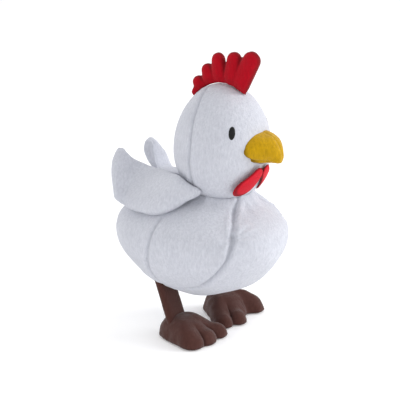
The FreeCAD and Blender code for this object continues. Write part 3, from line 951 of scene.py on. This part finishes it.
class CHICKEN_OT_comb(bpy.types.Operator):
    """The padded comb with five lobes"""

    bl_idname = "chicken.comb"
    bl_label = "Comb"

    def execute(self, context):
        lobes = COMB_LOBES + (COMB_BASE,)

        def heights(depth, flat, over):
            share = np.clip(depth / 8.5, 0, 1)
            half = COMB_HALF * np.sqrt(1 - (1 - share) ** 2) + 0.25
            crown = crown_height(flat[:, 0]) + 1.0
            root = np.clip((flat[:, 1] - crown) / 7.0, 0, 1)
            half *= 0.5 + 0.5 * root
            return np.where(over, half, -half)

        def place(u, v, height):
            return np.stack([-height, u, v], axis=1)

        comb = flat_pad("Comb", lobes, 1.6, heights, place)
        kept_between(comb, low=crown_height(points_of(comb.data)[:, 1]) - 0.5)
        remeshed(comb, 1.7, 2)
        stuffed(comb, (), 0, 1.2, 0.8, 1)
        points, normals = points_of(comb.data), normals_of(comb.data)
        rim = np.exp(-((points[:, 0] / 0.9) ** 2)) * (np.abs(normals[:, 0]) < 0.75)
        low = points[:, 2] > crown_height(points[:, 1]) + 2
        put_points(comb.data, points - normals * (rim * low * 0.5)[:, None])
        # painted shade: dark along the comb's outline and rim, lighter in the creases between lobes
        depth = inside_of(points[:, 1:], lobes)
        split = np.exp(-(((depth - split_depth(points[:, 1:])) / 1.0) ** 2))
        painted_shade_attribute(comb.data, np.maximum(rim * low, np.exp(-((depth / 1.8) ** 2))) * 0.9)
        painted_shade_attribute(comb.data, split * 0.35)
        dressed(comb, None, "red_fleece", ("comb_right_face", "comb_left_face", "comb_stuffing"))
        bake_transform(comb)
        return {"FINISHED"}


def split_depth(flat):
    """The second deepest lobe at each flat point, where a crease forms."""
    each = np.sort([inside_of(flat, (lobe,)) for lobe in COMB_LOBES], axis=0)
    return np.where(each[-2] > 0, each[-2], -9)


def crown_height(y):
    """Height of the head's ridge above the floor at a depth."""
    share = np.clip((y - HEAD_CENTRE[1]) / HEAD_RADIUS, -0.98, 0.98)
    return HEAD_CENTRE[2] + HEAD_RISE * np.sqrt(1 - share**2)


class CHICKEN_OT_beak(bpy.types.Operator):
    """The stuffed hooked beak"""

    bl_idname = "chicken.beak"
    bl_label = "Beak"

    def execute(self, context):
        def bent(unit):
            share = 1 - np.arccos(np.clip(unit[:, 2], -1, 1)) / math.pi
            angle = np.arctan2(unit[:, 1], unit[:, 0])
            rings = np.array(BEAK_RINGS)
            station = share * (len(rings) - 1)
            y, z, wide, tall, tilt = [
                np.interp(station, np.arange(len(rings)), rings[:, i]) for i in range(5)]
            wide = wide * np.clip(share * 12, 0, 1)
            tall = tall * np.clip(share * 12, 0, 1)
            up = tall * np.sin(angle)
            lean = np.radians(tilt)
            return np.stack(
                [wide * np.cos(angle), y - up * np.sin(lean), z + up * np.cos(lean)], axis=1)

        form = bmesh.new()
        bmesh.ops.create_uvsphere(form, u_segments=48, v_segments=48, radius=1)
        shaped(form, bent)
        beak = new_object("Beak", form)
        remeshed(beak, 2.6, 2)
        lip = [(-26.5, -62, 193), (-24, -66, 190), (-15, -74, 187.2), (-7, -81, 185.4),
               (0, -84.5, 184.6)]
        ridge = [(0, -64, 214.6), (0, -73, 213), (0, -83, 206.5), (0, -88, 197), (0, -87.5, 187)]
        stuffed(beak, [lip, mirrored(lip)], 2.0, 2.5, 1.2, 2)
        for line in (lip, mirrored(lip)):
            sewn(beak, line, 1.1, 1.2, 0.4, 0.5, 0)
        sewn(beak, ridge, 0.45, 1.2, 0.3, 0.25, 6)
        crumpled(beak, 16, 0.25, 11)
        # painted shade where the beak meets the head
        points = points_of(beak.data)
        gap = np.linalg.norm(points - HEAD_CENTRE, axis=1) - HEAD_RADIUS
        painted_shade_attribute(beak.data, np.exp(-((np.clip(gap, 0, 99) / 1.6) ** 2)) * 0.9)
        dressed(beak, "head", "yellow_fleece", (
            "beak_right_panel", "beak_left_panel", "beak_under_panel", "beak_stuffing"))
        return {"FINISHED"}


class CHICKEN_OT_eyes(bpy.types.Operator):
    """Two embroidered oval eyes"""

    bl_idname = "chicken.eyes"
    bl_label = "Eyes"

    def execute(self, context):
        tree = surface_of(bpy.data.objects["Head"])
        for side, x in (("right", -1), ("left", 1)):
            spot, normal, _, _ = tree.find_nearest(Vector((x * 32, -53.4, 217)) * MM)
            form = bmesh.new()
            bmesh.ops.create_uvsphere(form, u_segments=40, v_segments=24, radius=1)
            turn = normal.to_track_quat("Z", "Y").to_matrix()
            tilt = Matrix.Rotation(math.radians(x * 8), 3, "Z")
            for vert in form.verts:
                flat = tilt @ Vector((vert.co.x * 3.1, vert.co.y * 6.3, 0)) * MM
                place = spot + turn @ flat
                seat, out, _, _ = tree.find_nearest(place)
                stitch = 0.07 * math.sin(vert.co.y * 22)
                vert.co = seat + out * ((vert.co.z * (0.8 + stitch)) * MM)
            eye = new_object(f"{side.title()}_eye", form)
            dressed(eye, "head", "black_thread", (f"{side}_eye",))
        return {"FINISHED"}


# A wattle's outline, unrolled, as (out, z, radius) of its two round ends, how far to the
# chicken's right both hang, and the middle of the felt's height over the throat
WATTLE_LOBES = (((7.2, 175.2, 7.1), (15.8, 164.8, 10.2)),)
WATTLE_ASIDE = 5.5
WATTLE_LIFT = 1.5
FELT_HALF = 0.9


class CHICKEN_OT_wattles(bpy.types.Operator):
    """Two felt wattles that hang under the beak"""

    bl_idname = "chicken.wattles"
    bl_label = "Wattles"

    def execute(self, context):
        for side, x in (("right", -1), ("left", 1)):
            def heights(depth, flat, over):
                return np.where(over, FELT_HALF, -FELT_HALF) * np.sqrt(np.clip(depth, 0.15, 1))

            def place(u, v, height, x=x):
                low = HEAD_CENTRE[2] - v
                ring = np.sqrt(np.maximum(HEAD_RADIUS**2 - low**2, 1))
                depth = np.sqrt(np.maximum(ring**2 - u**2, 0))
                scale = (HEAD_RADIUS + WATTLE_LIFT + height) / HEAD_RADIUS
                return np.stack([
                    x * u * scale - WATTLE_ASIDE, HEAD_CENTRE[1] - depth * scale,
                    HEAD_CENTRE[2] - low * scale], axis=1)

            felt = flat_pad(f"{side.title()}_wattle", WATTLE_LOBES, 0.9, heights, place)
            finer(felt, 1)
            # painted shade along the felt's edges
            points = points_of(felt.data)
            flat = np.stack([np.abs(points[:, 0] + WATTLE_ASIDE), points[:, 2]], axis=1)
            painted_shade_attribute(felt.data, np.exp(-((inside_of(flat, WATTLE_LOBES) / 1.5) ** 2)))
            dressed(felt, None, "red_felt", (f"{side}_wattle",))
            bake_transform(felt)
        return {"FINISHED"}


# Leg sleeves: half width and half thickness, and how far they reach into body and foot;
# the thigh is a little slimmer so that it lies inside the shin where they overlap
STRAP_HALF_WIDTH, STRAP_HALF_THICK = 13.2, 4.4
INTO_BODY, INTO_FOOT, OVERLAP = 19, 7, 3
THIGH_SIZE = 0.985


class CHICKEN_OT_legs(bpy.types.Operator):
    """Fabric straps from the belly to the feet"""

    bl_idname = "chicken.legs"
    bl_label = "Legs"

    def execute(self, context):
        for side in ("right", "left"):
            hip, ankle = np.array(HIPS[side]), np.array(ANKLES[side])
            way = (ankle - hip) / np.linalg.norm(ankle - hip)
            middle = (hip + ankle) / 2
            body, leg, foot = "torso", f"{side}_leg", f"{side}_foot"
            for name, start, end, size, joint, bodies, nodes in (
                ("thigh", hip - way * INTO_BODY, middle + way * OVERLAP, THIGH_SIZE, hip,
                 (body, leg), (f"{side}_leg_fabric", f"{side}_leg_stuffing")),
                ("shin", middle, ankle + way * INTO_FOOT, 1.0, ankle, (leg, foot), ()),
            ):
                strap = self.strap(f"{side.title()}_{name}", start, end, way, size)
                dressed(strap, None, "brown_fleece", nodes)
                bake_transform(strap)
        return {"FINISHED"}

    def strap(self, name, start, end, way, size):
        """A flattened sleeve from start to end."""
        form = bmesh.new()
        ring = bmesh.ops.create_circle(form, segments=48, radius=1)["verts"]
        edges = list({e for v in ring for e in v.link_edges})
        rings = 16
        across = np.array((1.0, 0, 0))
        facing = np.cross(way, across)
        corners = [v.co.copy() for v in ring]
        for step in range(rings + 1):
            share = step / rings
            if step:
                moved = bmesh.ops.extrude_edge_only(form, edges=edges)["geom"]
                ring = [v for v in moved if isinstance(v, bmesh.types.BMVert)]
                edges = [e for e in moved if isinstance(e, bmesh.types.BMEdge)]
            spot = start + (end - start) * share
            for vert, corner in zip(ring, corners):
                c, s = corner.x, corner.y
                wide = size * STRAP_HALF_WIDTH * math.copysign(abs(c) ** 0.55, c)
                thick = size * STRAP_HALF_THICK * math.copysign(abs(s) ** 0.75, s)
                vert.co = Vector(spot + across * wide + facing * thick) * MM
        return new_object(name, form)


OVER_FLOOR = 0.02


class CHICKEN_OT_feet(bpy.types.Operator):
    """Stuffed feet with three toes each"""

    bl_idname = "chicken.feet"
    bl_label = "Feet"

    def execute(self, context):
        for side, (heel, toes) in FEET.items():
            middle = np.mean([toe[:2] for toe in toes], axis=0)
            along = np.array(heel[:2]) - middle
            instep = middle + along * 0.42
            lobes = tuple((heel, toe) for toe in toes) + ((heel, (*instep, 18.5)),)

            def heights(depth, flat, over, along=along, middle=middle):
                share = np.clip(depth / 14.0, 0, 1)
                back = np.clip((flat - middle) @ along / (along @ along), -0.4, 1.3)
                tall = 14.5 + 10.5 * np.clip(back * 2, 0, 1) - 5.0 * np.clip(back - 0.8, 0, 1)
                top = 2.2 + (tall - 2.2) * np.sqrt(1 - (1 - share) ** 2)
                return np.where(over, top, 0.5 * np.exp(-depth / 1.5))

            def place(u, v, height):
                return np.stack([u, v, height], axis=1)

            foot = flat_pad(f"{side.title()}_foot", lobes, 1.8, heights, place)
            remeshed(foot, 2.2, 2)
            stuffed(foot, (), 0, 1.5, 0.9, 1)
            kept_between(foot, low=OVER_FLOOR)
            self.toe_lines(foot, heel, toes)
            crumpled(foot, 15, 0.3, 21)
            kept_between(foot, low=OVER_FLOOR)
            dressed(foot, f"{side}_foot", "brown_fleece", (
                f"{side}_foot_sole", f"{side}_foot_upper", f"{side}_foot_stuffing"))
        return {"FINISHED"}

    def toe_lines(self, foot, heel, toes):
        """Stitched grooves that part the toes on top of the foot."""
        points, normals = points_of(foot.data), normals_of(foot.data)
        each = np.sort([inside_of(points[:, :2], ((heel, toe),)) for toe in toes], axis=0)
        part = np.exp(-(((each[-1] - each[-2]) / 1.6) ** 2)) * (each[-2] > -3)
        ahead = np.linalg.norm(points[:, :2] - np.array(heel[:2]), axis=1)
        part = part * np.clip((ahead - 25) / 8, 0, 1) * (normals[:, 2] > -0.2)
        put_points(foot.data, points - normals * (part * 1.5)[:, None])
        # painted shade in the toe grooves and in a band along the sole's edge near the floor
        sole = np.exp(-(((points[:, 2] - 2.2) / 0.7) ** 2)) * (normals[:, 2] > -0.7)
        painted_shade_attribute(foot.data, np.maximum(part * 0.7, sole * 0.6))


class CHICKEN_PT_panel(bpy.types.Panel):
    """Lists the operators and the sizes"""

    bl_label = "Stuffed fleece chicken"
    bl_idname = "CHICKEN_PT_panel"
    bl_space_type = "VIEW_3D"
    bl_region_type = "UI"
    bl_category = "Chicken"

    def draw(self, context):
        scene = context.scene
        for group in (scene.chicken_body, scene.chicken_colours, scene.chicken_stage):
            for key in group.__annotations__:
                self.layout.prop(group, key)
        for step in STEPS:
            self.layout.operator(step.bl_idname)


STEPS = (
    CHICKEN_OT_stage,
    CHICKEN_OT_body,
    CHICKEN_OT_head,
    CHICKEN_OT_wings,
    CHICKEN_OT_comb,
    CHICKEN_OT_beak,
    CHICKEN_OT_eyes,
    CHICKEN_OT_wattles,
    CHICKEN_OT_legs,
    CHICKEN_OT_feet,
)
CLASSES = (BodySizes, Colours, StageSizes) + STEPS + (CHICKEN_PT_panel,)


def register():
    for cls in CLASSES:
        bpy.utils.register_class(cls)
    bpy.types.Scene.chicken_body = bpy.props.PointerProperty(type=BodySizes)
    bpy.types.Scene.chicken_colours = bpy.props.PointerProperty(type=Colours)
    bpy.types.Scene.chicken_stage = bpy.props.PointerProperty(type=StageSizes)


def unregister():
    del bpy.types.Scene.chicken_stage
    del bpy.types.Scene.chicken_colours
    del bpy.types.Scene.chicken_body
    for cls in reversed(CLASSES):
        bpy.utils.unregister_class(cls)


def main():
    register()
    for step in STEPS:
        family, name = step.bl_idname.split(".")
        getattr(getattr(bpy.ops, family), name)()


if __name__ == "__main__":
    main()
